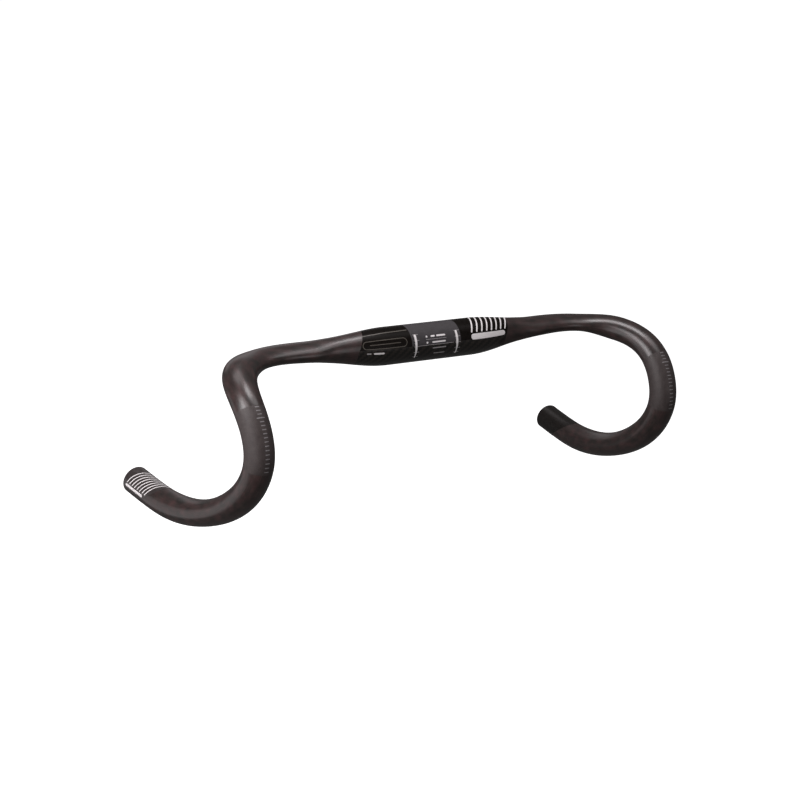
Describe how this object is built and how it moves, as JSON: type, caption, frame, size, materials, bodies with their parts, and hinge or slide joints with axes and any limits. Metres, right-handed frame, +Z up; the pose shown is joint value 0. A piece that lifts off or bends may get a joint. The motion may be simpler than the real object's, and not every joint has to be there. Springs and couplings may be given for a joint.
{
  "type": "drop handlebar",
  "caption": "Carbon road drop handlebar: bulged round clamp centre, flattened oval tops, compact forward hooks and lower grips that flare slightly outwards.",
  "frame": {"origin": "middle of the stem clamp, on the axis of the round clamp section", "axes": "+X to the rider's left, -Y forwards, +Z up, bar in its riding attitude with the lower grips level"},
  "size_m": [0.4646, 0.1747, 0.1567],
  "materials": {
    "carbon": "satin clear-coated carbon laminate",
    "sleeve_carbon": "bare carbon laminate",
    "clamp_grit": "grey anti-slip paint",
    "lever_grit": "matt anti-slip paint",
    "label_gloss": "gloss black label film"
  },
  "bodies": {
    "root": {"centre_section": "carbon", "clamp_grip_band": "clamp_grit", "left_hook": "carbon", "left_joint_sleeve": "sleeve_carbon", "left_label_film": "label_gloss", "left_lever_grip_band": "lever_grit", "left_end_film": "label_gloss", "right_hook": "carbon", "right_joint_sleeve": "sleeve_carbon", "right_label_film": "label_gloss", "right_lever_grip_band": "lever_grit", "right_end_film": "label_gloss"}
  },
  "joints": []
}
